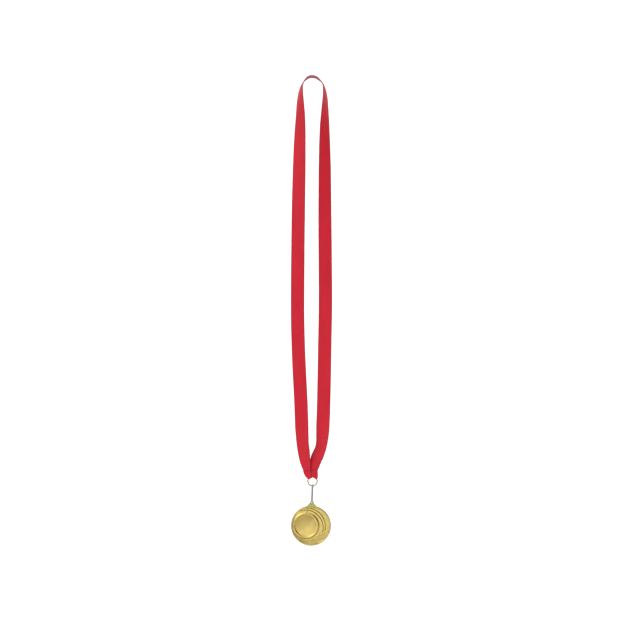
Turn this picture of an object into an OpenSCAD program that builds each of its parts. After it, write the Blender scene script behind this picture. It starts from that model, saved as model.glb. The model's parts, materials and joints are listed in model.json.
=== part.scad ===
// Award medal on a neck ribbon, hanging from the top of its ribbon loop.
// Millimetres. The origin is the underside of the ribbon at the top of its arch, where it hangs.
// +Z is up and -Y is the medal's front.

/* [Ribbon] */
// Width of the woven ribbon
ribbon_w = 15; // [12:0.5:16]
// Thickness of one layer of ribbon
ribbon_t = 0.5; // [0.3:0.05:0.6]
// Width that each end is gathered to at the seam
gathered_w = 8; // [7:0.5:10]
// Depth below the top of the arch at which the strands start to turn to the front
turn_start = 1.5; // [0:0.5:6]
// Depth over which the left strand makes most of its quarter turn
left_turn = 64; // [50:1:90]
// Depth over which the right strand makes most of its quarter turn
right_turn = 80; // [50:1:90]
// How far the right strand turns past the front where it slips behind the left one, in degrees
right_tuck = 42; // [0:1:45]
// How far the left strand turns just above the seam, in degrees
left_tuck = 24; // [0:1:28]

/* [Seam and hem] */
// Height of the sewn seam
seam_z = -444.9; // [-446:0.1:-444]
// Height of the fold line where the hem swings below the seam
fold_z = -447.2; // [-448:0.1:-447]
// Thickness of the folded hem
hem_t = 2; // [1.6:0.1:2.4]
// Height of the turned-up raw ends behind the seam
tail_h = 5; // [3:0.5:8]
// Diameter of the sewing thread
thread_d = 0.35; // [0.25:0.05:0.45]
// Length of one stitch
stitch_l = 2.1; // [1.8:0.1:2.1]
// Number of stitches on the front
stitches = 7; // [5:1:7]

/* [Ring] */
// Wire thickness of the round ring
ring_wire = 1.3; // [1:0.1:1.4]
// Diameter of the ring, from wire centre to wire centre
ring_d = 10.5; // [9.5:0.1:11]
// Opening between the ring's two butted ends, in degrees
ring_gap = 2; // [1:0.5:4]
// Free space round the wire inside the hem's sleeve
ring_play = 0.15; // [0.1:0.05:0.25]

/* [Link] */
// Wire thickness of the oblong link
link_wire = 1.2; // [1:0.1:1.3]
// Outside length of the link
link_l = 21; // [18:0.5:24]
// Outside width of the link
link_w = 8; // [7.5:0.25:9]
// Opening between the link's two butted ends
link_gap = 0.15; // [0.1:0.05:0.3]
// How far the link is turned from edge-on, in degrees
link_twist = 8; // [0:1:10]
// How far the link and the medal hang to the left of plumb, in degrees
hang_lean = 2.2; // [0:0.1:3]

/* [Medal] */
// Diameter of the medal
medal_d = 45; // [44:0.5:48]
// Overall thickness of the medal at its rim
medal_t = 3; // [2.8:0.1:3.4]
// Width of the raised outer rim
rim_w = 1.1; // [0.8:0.1:1.5]
// Height of the raised outer rim over the ground next to it
rim_h = 0.3; // [0.2:0.05:0.4]
// Diameter of the round emblem recess
recess_d = 25.6; // [25.2:0.2:26]
// Depth of the emblem recess below its own raised ring
recess_depth = 0.8; // [0.6:0.05:0.9]
// How far the recess sits to the left of the medal's centre
recess_left = 5.2; // [4.8:0.1:5.6]
// How far the recess sits above the medal's centre
recess_up = 0.2; // [0:0.1:1]
// Number of stepped crescents between the rim and the recess
crescents = 4; // [2:1:5]
// Height of each crescent's step
crescent_step = 0.12; // [0.08:0.01:0.15]

/* [Lug] */
// Thickness of the lug on top of the medal
lug_t = 2; // [1.6:0.1:2.2]
// Diameter of the hole through the lug
hole_d = 2.2; // [2:0.1:2.4]
// Distance from the medal's centre to the lug's hole
hole_up = 26.3; // [26:0.1:28]
// Metal left round the hole at the lug's top
lug_wall = 0.9; // [0.7:0.1:1.2]
// Radius of the lug's hollow flanks
flank_r = 9; // [6:0.5:12]

/* [Hidden] */
$fn = 64;
RIBBON_RED = "#c22036";
THREAD_RED = "#a0182c";
RING_METAL = "#8d8355";
LINK_METAL = "#8f8d88";
GOLD = "#c8ac58";

// Where the two ends lie against each other, the right strand is this far behind the middle.
// The left strand is in front of it, with its own raw end between them.
layer_y = ribbon_t / 2 + 0.1;
left_y = layer_y + ribbon_t;
hem_pivot_clear = 0.3;
ribbon_end_z = fold_z + hem_t / 2 + hem_pivot_clear;
// Top of the raw ends, which are folded up behind the seam
TAIL_Z = ribbon_end_z + tail_h;

// Middle of the ribbon from its left end, over the arch, to its right end: [x, y, z]
LEFT_ROUTE = [
    [-5.5, -left_y, ribbon_end_z],
    [-6.6, -left_y, TAIL_Z],
    [-6.8, -left_y, TAIL_Z + 1],
    [-7.6, -left_y, -436],
    [-9, -left_y, -426],
    [-10.8, -0.6, -411],
    [-12.6, -0.2, -366],
    [-14.9, 0, -320],
    [-16.2, 0, -275],
    [-16.2, 0, -230],
    [-15.5, 0, -160],
    [-14.2, 0, -90],
    [-13.1, 0, -45],
    [-13.2, 0, -25],
    [-12.5, 0, -14.5],
    [-10.8, 0, -8.4],
    [-8, 0, -4],
    [-4.2, 0, -0.8],
];
RIGHT_ROUTE = [
    [4.4, 0, -0.7],
    [8.6, 0, -3.6],
    [11.9, 0, -7.6],
    [13.8, 0, -12.6],
    [14.8, 0, -20],
    [14.8, 0, -32],
    [14.3, 0, -60],
    [14.5, 0, -110],
    [14.6, 0, -160],
    [15, 0, -210],
    [15.2, 0, -255],
    [14.5, 0, -300],
    [13.4, 0, -360],
    [12.4, 0.2, -392],
    [11.3, layer_y, -411],
    [9.9, layer_y, -419],
    [6.8, layer_y, -427.5],
    [4.1, layer_y, -435.5],
    [3.1, layer_y, TAIL_Z + 1],
    [2.9, layer_y, TAIL_Z],
    [1.9, layer_y, ribbon_end_z],
];
route = concat(LEFT_ROUTE, [[0, 0, ribbon_t / 2]], RIGHT_ROUTE);
apex = len(LEFT_ROUTE);
SECTION_STEP = 10;

// The turn just above the seam is centred at this depth and fades out over this distance
TUCK_DEPTH = 419;
TUCK_SPREAD = 20;
GATHER_DEPTH = 425;

// The ring hangs in the hem, the link on the ring, and the medal on the link
ring_r = ring_d / 2;
ring_x = 0.6;
ring_z = -456.9;
RING_JOINT_ANGLE = 210;
SLEEVE_ANGLE = 124;
SLEEVE_CLOTH = 0.4;
CONTACT_PLAY = 0.05;
ring_bottom_z = ring_z - ring_r;
link_top_z = ring_bottom_z + ring_wire / 2 + CONTACT_PLAY + link_wire / 2;
link_bend_r = (link_w - link_wire) / 2;
link_bottom_z = link_top_z - (link_l - link_wire);
LUG_PLAY = 0.25;
hole_z = link_bottom_z - LUG_PLAY;
hang_length = ring_bottom_z - hole_z + hole_up;
medal_x = ring_x - hang_length * sin(hang_lean);
medal_z = ring_bottom_z - hang_length * cos(hang_lean);

medal_r = medal_d / 2;
recess_r = recess_d / 2;
RING_RIDGE_W = 1;
EDGE_CHAMFER = 0.3;
medal_front = -medal_t / 2 - 0.1;
medal_back = medal_t / 2 - 0.1;
recess_floor = medal_front + recess_depth;

// ---- ribbon ----

function gap(i) = norm(route[i + 1] - route[i]);

// Direction of the route at point i, from its neighbours
function lean(i) =
    i == 0 ? (route[1] - route[0]) / gap(0) :
    i == len(route) - 1 ? (route[i] - route[i - 1]) / gap(i - 1) :
    (route[i + 1] - route[i - 1]) / (gap(i) + gap(i - 1));

// Smooth curve through points i and i + 1, at t from 0 to 1
function curve(i, t) =
    (2 * pow(t, 3) - 3 * pow(t, 2) + 1) * route[i]
    + (pow(t, 3) - 2 * pow(t, 2) + t) * gap(i) * lean(i)
    + (3 * pow(t, 2) - 2 * pow(t, 3)) * route[i + 1]
    + (pow(t, 3) - pow(t, 2)) * gap(i) * lean(i + 1);

// How far the ribbon has turned from edge-on to facing the front, in degrees
function tuck(depth) = exp(-pow((depth - TUCK_DEPTH) / TUCK_SPREAD, 2));
function turn(i, depth) =
    i < apex
    ? 90 * (1 - exp(-max(0, depth - turn_start) / left_turn)) - left_tuck * tuck(depth)
    : 90 * (1 - exp(-max(0, depth - turn_start) / right_turn)) + right_tuck * tuck(depth);

// How far the ends are gathered at a depth, from 0 to 1
function gathered(depth) = max(0, depth - GATHER_DEPTH) / (-ribbon_end_z - GATHER_DEPTH);
function width_at(depth) = ribbon_w + (gathered_w - ribbon_w) * gathered(depth);

// Each strand's raw end is one more layer on its back
function tail_t(depth) = depth > -TAIL_Z - 0.1 ? ribbon_t : 0;

// The four corners of the ribbon's section at a point of the curve; both ends are cut level
function section(i, t) =
    let (
        middle = curve(i, t),
        depth = -middle.z,
        ahead = curve(i, t + 0.01) - curve(i, t - 0.01),
        levelled = [ahead.x * (1 - gathered(depth)), 0, ahead.z],
        along = levelled / norm(levelled),
        outward = [-along.z, 0, along.x],
        angle = turn(i, depth),
        side = (-cos(angle) * [0, 1, 0] - sin(angle) * outward) * width_at(depth) / 2,
        normal = cos(angle) * outward - sin(angle) * [0, 1, 0],
        front = normal * ribbon_t / 2,
        back = -normal * (ribbon_t / 2 + tail_t(depth))
    )
    [middle + side + front, middle + side + back, middle - side + back, middle - side + front];

function steps(i) = max(1, ceil(gap(i) / SECTION_STEP));

sections = [
    for (i = [0 : len(route) - 2])
        for (k = [0 : steps(i) - 1])
            section(i, k / steps(i)),
    section(len(route) - 2, 1),
];

module swept(rings) {
    sides = len(rings[0]);
    last = len(rings) - 1;
    points = [for (ring = rings) for (corner = ring) corner];
    start_cap = [for (k = [1 : sides - 2]) [0, k, k + 1]];
    end_cap = [for (k = [1 : sides - 2]) [0, k + 1, k] + last * sides * [1, 1, 1]];
    // The back's diagonal runs the same way as the front's, so the two stay parallel where it twists
    walls = [
        for (i = [0 : last - 1])
            for (k = [0 : sides - 1])
                let (
                    a = i * sides + k,
                    b = i * sides + (k + 1) % sides,
                    c = b + sides,
                    d = a + sides
                )
                each k == 1 ? [[a, d, b], [d, c, b]] : [[a, d, c], [a, c, b]],
    ];
    polyhedron(points = points, faces = concat(start_cap, end_cap, walls), convexity = 8);
}

module ribbon() {
    color(RIBBON_RED)
        swept(sections);
}

// ---- hem, folded round the ring ----

module about_ring() {
    translate([ring_x, 0, ring_z])
        rotate([90, 0, 0])
            children();
}

module hem_outline() {
    polygon([
        [-9.4, fold_z],
        [6.3, fold_z],
        [6.1, fold_z - 4],
        [5.4, fold_z - 6.6],
        [-4.4, fold_z - 7],
        [-7.2, fold_z - 3.6],
    ]);
}

module hem_plate() {
    difference() {
        rotate([90, 0, 0])
            linear_extrude(hem_t, center = true)
                hem_outline();
        about_ring()
            cylinder(h = 3 * hem_t, r = ring_r, center = true);
    }
    translate([-9.4, 0, fold_z])
        rotate([0, 90, 0])
            cylinder(h = 15.7, r = hem_t / 2);
}

module hem_sleeve() {
    about_ring()
        rotate([0, 0, 90 - SLEEVE_ANGLE / 2])
            rotate_extrude(angle = SLEEVE_ANGLE)
                translate([ring_r, 0])
                    circle(r = ring_wire / 2 + ring_play + SLEEVE_CLOTH);
}

module ribbon_hem() {
    color(RIBBON_RED)
        difference() {
            union() {
                hem_plate();
                hem_sleeve();
            }
            about_ring()
                rotate_extrude()
                    translate([ring_r, 0])
                        circle(r = ring_wire / 2 + ring_play);
        }
}

// ---- seam ----

module thread_bar(x, y, length) {
    translate([x, y, seam_z])
        rotate([0, 90, 0])
            cylinder(h = length, d = thread_d, $fn = 24);
}

module thread_leg(x, front_y, back_y) {
    translate([x, back_y, seam_z])
        rotate([90, 0, 0])
            cylinder(h = back_y - front_y, d = 0.8 * thread_d, $fn = 24);
}

// One thread: bars on the front and on the back in turn, joined by legs through the cloth.
// The stitches up to the crossing one lie on the left strand, the rest on the right one.
module seam_thread() {
    seam_left = -9.8;
    crossing = 3;
    lies_on = ribbon_t / 2 + thread_d / 2;
    pitch = 1.1 * stitch_l;
    color(THREAD_RED)
        for (i = [0 : stitches - 1]) {
            left = seam_left + i * pitch;
            right = left + stitch_l;
            front_y = (i <= crossing ? -left_y : layer_y) - lies_on;
            back_y = (i <= crossing ? -left_y : layer_y) + ribbon_t + lies_on;
            next_back_y = (i < crossing ? -left_y : layer_y) + ribbon_t + lies_on;
            thread_bar(left, front_y, stitch_l);
            thread_leg(left + thread_d, front_y, back_y);
            thread_leg(right - thread_d, front_y, next_back_y);
            if (i < stitches - 1)
                thread_bar(right - 2 * thread_d, next_back_y, pitch - stitch_l + 4 * thread_d);
        }
}

// ---- ring and link ----

module jump_ring() {
    color(RING_METAL)
        about_ring()
            rotate([0, 0, RING_JOINT_ANGLE + ring_gap / 2])
                rotate_extrude(angle = 360 - ring_gap)
                    translate([ring_r, 0])
                        circle(d = ring_wire);
}

// Half of the link's bend, open downwards before it is turned
module link_bend() {
    rotate([90, 0, 90])
        rotate_extrude(angle = 180)
            translate([link_bend_r, 0])
                circle(d = link_wire);
}

module link_side(y) {
    translate([0, y, link_bottom_z + link_bend_r])
        cylinder(h = link_top_z - link_bottom_z - 2 * link_bend_r, d = link_wire);
}

module oblong_link() {
    joint_z = link_top_z - link_bend_r - 1;
    color(LINK_METAL)
        translate([ring_x, 0, ring_bottom_z])
            rotate([0, hang_lean, 0])
                rotate([0, 0, link_twist])
                    translate([0, 0, -ring_bottom_z])
                        difference() {
                            union() {
                                translate([0, 0, link_top_z - link_bend_r])
                                    link_bend();
                                translate([0, 0, link_bottom_z + link_bend_r])
                                    rotate([180, 0, 0])
                                        link_bend();
                                link_side(link_bend_r);
                                link_side(-link_bend_r);
                            }
                            translate([0, -link_bend_r, joint_z])
                                cube([2 * link_wire, 2 * link_wire, link_gap], center = true);
                        }
}

// ---- medal ----

// A flat disc across Y, at x and z from the medal's centre
module disc(r, x, z, front, back) {
    translate([x, back, z])
        rotate([90, 0, 0])
            cylinder(h = back - front, r = r, $fn = 128);
}

module chamfered_blank() {
    rotate([90, 0, 0])
        rotate_extrude($fn = 128)
            polygon([
                [0, -medal_back],
                [medal_r - EDGE_CHAMFER, -medal_back],
                [medal_r, -medal_back + EDGE_CHAMFER],
                [medal_r, -medal_front - EDGE_CHAMFER],
                [medal_r - EDGE_CHAMFER, -medal_front],
                [0, -medal_front],
            ]);
}

// Each crescent is cut by a circle between the rim's and the recess ring's, a step lower each time
module crescent_cuts() {
    outer_r = medal_r - rim_w;
    inner_r = recess_r + RING_RIDGE_W;
    for (i = [0 : crescents - 1]) {
        share = i / crescents;
        floor_y = medal_front + rim_h + i * crescent_step;
        disc(
            outer_r + (inner_r - outer_r) * share,
            -recess_left * share,
            recess_up * share,
            medal_front - 1,
            floor_y
        );
    }
}

module lug_outline() {
    top_r = hole_d / 2 + lug_wall;
    // The flank's circle touches both the lug's top and the medal's edge
    far = medal_r + flank_r;
    near = top_r + flank_r;
    flank_z = (pow(far, 2) - pow(near, 2) + pow(hole_up, 2)) / (2 * hole_up);
    flank_x = sqrt(pow(far, 2) - pow(flank_z, 2));
    foot = [flank_x, flank_z] * medal_r / far;
    shoulder = [0, hole_up] + ([flank_x, flank_z] - [0, hole_up]) * top_r / near;
    difference() {
        polygon([
            [foot.x, foot.y - 2],
            foot,
            [foot.x, shoulder.y],
            shoulder,
            [-shoulder.x, shoulder.y],
            [-foot.x, shoulder.y],
            [-foot.x, foot.y],
            [-foot.x, foot.y - 2],
        ]);
        for (s = [-1, 1])
            translate([s * flank_x, flank_z])
                circle(r = flank_r, $fn = 128);
    }
    translate([0, hole_up])
        circle(r = top_r);
}

module medal() {
    color(GOLD)
        translate([medal_x, 0, medal_z])
            difference() {
                union() {
                    difference() {
                        chamfered_blank();
                        crescent_cuts();
                    }
                    disc(recess_r + RING_RIDGE_W, -recess_left, recess_up, medal_front, 0);
                    rotate([90, hang_lean, 0])
                        linear_extrude(lug_t, center = true)
                            lug_outline();
                }
                disc(recess_r, -recess_left, recess_up, medal_front - 1, recess_floor);
                rotate([0, hang_lean, 0])
                    translate([0, 0, hole_up])
                        rotate([90, 0, 0])
                            cylinder(h = 2 * lug_t, d = hole_d, center = true);
            }
}

ribbon();
ribbon_hem();
seam_thread();
jump_ring();
oblong_link();
medal();
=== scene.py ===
import json
import math

import bpy
import numpy as np
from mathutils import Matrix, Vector


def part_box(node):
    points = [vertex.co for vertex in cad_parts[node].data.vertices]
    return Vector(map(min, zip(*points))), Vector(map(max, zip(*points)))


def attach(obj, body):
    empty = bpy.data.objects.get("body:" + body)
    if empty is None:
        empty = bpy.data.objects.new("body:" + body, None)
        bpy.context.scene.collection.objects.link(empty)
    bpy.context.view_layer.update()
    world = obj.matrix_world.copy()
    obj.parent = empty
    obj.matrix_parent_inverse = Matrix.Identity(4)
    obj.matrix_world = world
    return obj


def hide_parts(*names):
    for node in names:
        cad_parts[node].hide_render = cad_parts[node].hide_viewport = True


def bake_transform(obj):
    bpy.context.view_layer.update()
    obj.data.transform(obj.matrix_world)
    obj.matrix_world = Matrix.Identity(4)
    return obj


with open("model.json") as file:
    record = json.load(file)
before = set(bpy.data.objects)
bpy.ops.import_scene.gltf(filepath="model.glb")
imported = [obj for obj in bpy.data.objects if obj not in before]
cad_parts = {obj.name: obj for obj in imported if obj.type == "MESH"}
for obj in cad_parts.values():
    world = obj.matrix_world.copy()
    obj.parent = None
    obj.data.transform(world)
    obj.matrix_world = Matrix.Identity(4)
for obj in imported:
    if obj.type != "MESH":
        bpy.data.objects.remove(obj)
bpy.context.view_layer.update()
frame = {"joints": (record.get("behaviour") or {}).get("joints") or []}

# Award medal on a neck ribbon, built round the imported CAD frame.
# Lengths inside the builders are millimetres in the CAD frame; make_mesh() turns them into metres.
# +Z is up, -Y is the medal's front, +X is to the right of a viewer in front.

MM = 0.001


def mm(vector):
    return np.array(vector, float) / MM


# ---------------------------------------------------------------- camera
CAMERA_AWAY = 1.300
PICTURE_WIDTH = 0.705
CAMERA_HEIGHT = -0.2658
SENSOR_WIDTH = 36

camera = bpy.data.objects.new("camera", bpy.data.cameras.new("camera"))
bpy.context.scene.collection.objects.link(camera)
camera.location = (0, -CAMERA_AWAY, CAMERA_HEIGHT)
camera.rotation_euler = (math.radians(90), 0, 0)
camera.data.sensor_width = SENSOR_WIDTH
camera.data.lens = SENSOR_WIDTH * CAMERA_AWAY / PICTURE_WIDTH
camera.data.clip_end = 30
bpy.context.scene.camera = camera
bpy.context.scene.view_settings.view_transform = "Standard"

# ---------------------------------------------------------------- sizes from the frame
ring_low, ring_high = (mm(p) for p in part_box("jump_ring"))
link_low, link_high = (mm(p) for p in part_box("oblong_link"))
medal_low, medal_high = (mm(p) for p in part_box("medal"))
joints = {j["name"]: mm(j["pos_m"]) for j in frame["joints"]}

ring_centre = joints["ring_roll"]
ring_x, ring_z = ring_centre[0], ring_centre[2]
WIRE_R = (ring_high[1] - ring_low[1]) / 2
RING_R = (ring_high[0] - ring_low[0]) / 2 - WIRE_R
LINK_TWIST = math.radians(8)
LINK_WIRE_R = 0.6
LINK_BEND_R = ((link_high[1] - link_low[1]) / 2 - LINK_WIRE_R) / math.cos(LINK_TWIST)
medal_r = (medal_high[0] - medal_low[0]) / 2
medal_x = (medal_high[0] + medal_low[0]) / 2
medal_z = medal_low[2] + medal_r
FRONT_Y, BACK_Y = medal_low[1], medal_high[1]

# The link and the medal hang along the line from the ring's lowest wire to the link's lowest wire
hang_from, hang_to = joints["link_swing"], joints["medal_swing"]
hang_length = float(np.hypot(*(hang_to - hang_from)[[0, 2]]))
hang_sin = (hang_from[0] - hang_to[0]) / hang_length
hang_cos = (hang_from[2] - hang_to[2]) / hang_length
LUG_PLAY = 0.25

# ---------------------------------------------------------------- mesh helpers
BACKWARD = np.array([0.0, 1.0, 0.0])
UP = np.array([0.0, 0.0, 1.0])


def leaned(points):
    """Points given upright about the point they hang from, turned to the line they hang along."""
    x, y, z = np.moveaxis(np.asarray(points, float), -1, 0)
    return np.stack([x * hang_cos + z * hang_sin, y, z * hang_cos - x * hang_sin], axis=-1)


def make_mesh(name, points, faces):
    """A mesh object from points in millimetres."""
    data = bpy.data.meshes.new(name)
    data.from_pydata((np.asarray(points) * MM).tolist(), [], [list(map(int, f)) for f in faces])
    data.validate()
    data.update()
    data.shade_smooth()
    piece = bpy.data.objects.new(name, data)
    bpy.context.scene.collection.objects.link(piece)
    return piece


def grid_faces(rows, columns, closed=False, first=0, flip=False):
    """Quads of a grid of points whose index is first + row * columns + column."""
    last = columns if closed else columns - 1
    faces = []
    for i in range(rows - 1):
        for j in range(last):
            a = first + i * columns + j
            b = first + i * columns + (j + 1) % columns
            quad = [a, b, b + columns, a + columns]
            faces.append(quad[::-1] if flip else quad)
    return faces


def set_attribute(piece, name, values):
    attribute = piece.data.attributes.new(name, "FLOAT", "POINT")
    attribute.data.foreach_set("value", np.asarray(values, np.float32))


def smoothstep(low, high, x):
    t = np.clip((np.asarray(x, float) - low) / (high - low), 0, 1)
    return t * t * (3 - 2 * t)


def unit(v):
    return v / np.maximum(np.linalg.norm(v, axis=-1, keepdims=True), 1e-12)


def hermite(a, b, ta, tb, t):
    """Points at the values t of a smooth curve from a to b that leaves along ta and arrives along tb."""
    t = np.asarray(t, float)[..., None]
    return (
        (2 * t**3 - 3 * t**2 + 1) * a
        + (t**3 - 2 * t**2 + t) * ta
        + (3 * t**2 - 2 * t**3) * b
        + (t**3 - t**2) * tb
    )


END_ROUND = 0.25
END_TAPER = 0.45
FIRST_SIDE = (0.31, 0.87, 0.38)


def tube(name, path, radius, sides, ply=0.0, twist=0.0):
    """A round wire or thread along a path, its two ends rounded over. ply makes it a twisted yarn."""
    path = np.asarray(path, float)
    along = unit(np.gradient(path, axis=0))
    turned = [np.cross(along[0], FIRST_SIDE)]
    for direction in along[1:]:
        v = turned[-1] - direction * (turned[-1] @ direction)
        turned.append(v / np.linalg.norm(v))
    side = unit(np.array(turned))
    up = np.cross(along, side)
    travelled = np.r_[0, np.cumsum(np.linalg.norm(np.diff(path, axis=0), axis=1))]
    left = np.minimum(travelled, travelled[-1] - travelled)
    taper = 1 - END_TAPER * np.clip(1 - left / END_ROUND, 0, 1) ** 2
    angle = np.linspace(0, 2 * math.pi, sides, endpoint=False)
    phase = angle[None, :] - twist * travelled[:, None]
    size = radius * taper[:, None] * (1 - ply * 0.5 * (1 - np.cos(2 * phase)))
    rings = (
        path[:, None, :]
        + (size * np.cos(angle))[..., None] * side[:, None, :]
        + (size * np.sin(angle))[..., None] * up[:, None, :]
    )
    points = rings.reshape(-1, 3)
    faces = grid_faces(len(path), sides, closed=True)
    faces.append(list(range(sides))[::-1])
    faces.append([(len(path) - 1) * sides + k for k in range(sides)])
    return make_mesh(name, points, faces)


# ---------------------------------------------------------------- ribbon
RIBBON_W = 15.0
RIBBON_T = 0.5
GATHERED_W = 8.0
# Below the arch the ribbon turns from edge-on to flat; depths are millimetres below the hanging point
TURN_START = 1.5
LEFT_TURN, RIGHT_TURN = 64.0, 80.0
LEFT_TUCK, RIGHT_TUCK = 24.0, 36.0
TUCK_DEPTH, TUCK_SPREAD = 419.0, 20.0
# The cloth narrows to its gathered width from these depths down to the seam
LEFT_GATHER, RIGHT_GATHER = 420.0, 427.0
GATHER_EASE = 1.45
# The strands are cupped across, their edges wander, and folds run down into the seam
CUP, SHOULDER_CUP = 0.32, 0.28
EDGE_WANDER = 0.30
FOLDS, FOLD_DEPTH = 2.0, 0.22
FOLD_FROM, FOLD_FULL, FOLD_FADE = 420.0, 438, 440.5
SEAM_Z = -444.9
SEAM_TILT = 0.12
SEAM_LEVEL_X = -2.0
SEAM_PULL, SEAM_SPREAD = 0.16, 0.5
END_Z = -445.9
TAIL_Z = -440.9
LAYER_Y = 0.35
COLUMNS = 25
ROW_STEP, FINE_STEP = 1.0, 0.3
FINE_DEPTH = 432.0
EDGE_BULGE = 0.12

LEFT_ROUTE = [
    (-5.5, -LAYER_Y, END_Z),
    (-6.7, -LAYER_Y, TAIL_Z + 0.5),
    (-7.6, -LAYER_Y, -436),
    (-9, -LAYER_Y, -426),
    (-10.8, -LAYER_Y, -411),
    (-12.6, -0.2, -366),
    (-14.9, 0, -320),
    (-16.2, 0, -275),
    (-16.2, 0, -230),
    (-15.5, 0, -160),
    (-14.2, 0, -90),
    (-13.1, 0, -45),
    (-13.2, 0, -25),
    (-12.5, 0, -14.5),
    (-10.8, 0, -8.4),
    (-8, 0, -4),
    (-4.2, 0, -0.8),
]
RIGHT_ROUTE = [
    (4.4, 0, -0.7),
    (8.6, 0, -3.6),
    (11.9, 0, -7.6),
    (13.8, 0, -12.6),
    (14.8, 0, -20),
    (14.8, 0, -32),
    (14.3, 0, -60),
    (14.5, 0, -110),
    (14.6, 0, -160),
    (15, 0, -210),
    (15.2, 0, -255),
    (14.5, 0, -300),
    (13.4, 0, -360),
    (12.4, 0.2, -392),
    (11.3, LAYER_Y, -411),
    (9.9, LAYER_Y, -419),
    (6.8, LAYER_Y, -427.4),
    (5.1, LAYER_Y, -431),
    (3.7, LAYER_Y, -436),
    (2.9, LAYER_Y, TAIL_Z + 0.5),
    (1.9, LAYER_Y, END_Z),
]
route = np.array(LEFT_ROUTE + [(0, 0, RIBBON_T / 2)] + RIGHT_ROUTE, float)
APEX = len(LEFT_ROUTE)
gaps = np.linalg.norm(np.diff(route, axis=0), axis=1)
lean = np.zeros_like(route)
lean[1:-1] = (route[2:] - route[:-2]) / (gaps[1:] + gaps[:-1])[:, None]
lean[0] = (route[1] - route[0]) / gaps[0]
lean[-1] = (route[-1] - route[-2]) / gaps[-1]


def on_route(i, t):
    return hermite(route[i], route[i + 1], gaps[i] * lean[i], gaps[i] * lean[i + 1], t)


def turn_angle(left, depth):
    """How far the ribbon has turned from edge-on to facing the front, in radians."""
    tuck = np.exp(-(((depth - TUCK_DEPTH) / TUCK_SPREAD) ** 2))
    length = np.where(left, LEFT_TURN, RIGHT_TURN)
    quarter = 90 * (1 - np.exp(-np.maximum(0, depth - TURN_START) / length))
    return np.radians(quarter + np.where(left, -LEFT_TUCK, RIGHT_TUCK) * tuck)


def strand_rows():
    """The ribbon's rows, from the left end of the seam over the arch to the right end.

    Each row has its middle, the directions across it and out of the cloth, its width, and the
    direction along the ribbon.
    """
    middles, left = [], []
    for i, gap in enumerate(gaps):
        step = FINE_STEP if -max(route[i][2], route[i + 1][2]) > FINE_DEPTH else ROW_STEP
        count = math.ceil(gap / step)
        for t in np.arange(count) / count:
            middles.append(on_route(i, t))
            left.append(i < APEX)
    middles.append(route[-1])
    left.append(False)
    middles, left = np.array(middles), np.array(left)
    keep = middles[:, 2] > SEAM_Z
    middles, left = middles[keep], left[keep]
    depth = -middles[:, 2]
    gather_from = np.where(left, LEFT_GATHER, RIGHT_GATHER)
    gathered = (np.maximum(0, depth - gather_from) / (-END_Z - gather_from)) ** GATHER_EASE
    ahead = np.gradient(middles, axis=0)
    ahead[:, 0] *= 1 - gathered
    ahead[:, 1] = 0
    along = unit(ahead)
    outward = np.stack([-along[:, 2], 0 * depth, along[:, 0]], axis=1)
    angle = turn_angle(left, depth)[:, None]
    side = -np.cos(angle) * BACKWARD - np.sin(angle) * outward
    normal = np.cos(angle) * outward - np.sin(angle) * BACKWARD
    width = RIBBON_W + (GATHERED_W - RIBBON_W) * gathered
    return middles, side, normal, width, along


def soft_noise(x, waves, seed):
    """A smooth wandering value along x, made of a few sine waves."""
    draw = np.random.default_rng(seed)
    total = np.zeros_like(x, float)
    for k in range(waves):
        size = draw.uniform(0.5, 1)
        total += size * np.sin(x * draw.uniform(0.02, 0.11) + draw.uniform(0, 6.3)) / waves
    return total


across = np.linspace(-0.5, 0.5, COLUMNS)


def strand_grid():
    """The strands and the arch as a grid of points, rows along the ribbon and columns across it."""
    middles, side, normal, width, along = strand_rows()
    travelled = np.r_[0, np.cumsum(np.linalg.norm(np.diff(middles, axis=0), axis=1))]
    grid = middles[:, None, :] + (width[:, None] * across)[..., None] * side[:, None, :]
    ends = smoothstep(-428, -395, middles[:, 2]) * (1 - 0.6 * smoothstep(-5, -1, middles[:, 2]))
    shoulder = smoothstep(-60, -25, middles[:, 2])
    wander = 0.4 * (1 - shoulder) * soft_noise(travelled, 5, 3)
    cup = (CUP + SHOULDER_CUP * shoulder) * (0.6 + wander + 0.4 * shoulder) * ends
    edge = EDGE_WANDER * soft_noise(travelled * 1.7, 6, 11) * ends
    lift = cup[:, None] * (1 - (2 * across) ** 2) + edge[:, None] * (2 * across) ** 3
    # Soft folds run down into the seam, where the cloth is gathered
    depth = -middles[:, 2]
    swell = smoothstep(FOLD_FROM, FOLD_FULL, depth) * (1 - smoothstep(FOLD_FADE, -SEAM_Z, depth))
    lift = lift - FOLD_DEPTH * swell[:, None] * (0.5 - 0.5 * np.cos(2 * math.pi * FOLDS * (across + 0.5)))
    return grid + lift[..., None] * normal[:, None, :], along


# The hem: from the seam down the front, round the ring's wire, up the back, and a raw end behind the seam.
# Pairs run from the strand's outer edge to its inner one. The angles are where the cloth sits round the
# ring, in degrees from its top; the pleats start at open_from.
LEG_ROWS, WRAP_ROWS, TAIL_ROWS = 26, 18, 14
HEM_SIDES = {
    "left": dict(
        angles=(-62, -12),
        wrap_r=(1.05, 1.45),
        back_y=(0.5, 1.36),
        pleats=2.0,
        pleat=0.3,
        open_from=-90,
        tail_back=2.6,
    ),
    "right": dict(
        angles=(62, -15),
        wrap_r=(0.97, 0.97),
        back_y=(0.86, 0.86),
        pleats=2.5,
        pleat=0.26,
        open_from=-8,
        tail_back=1.3,
    ),
}
TAIL_SHIFT_X, TAIL_SHIFT_Y = 0.35, 0.45


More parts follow.
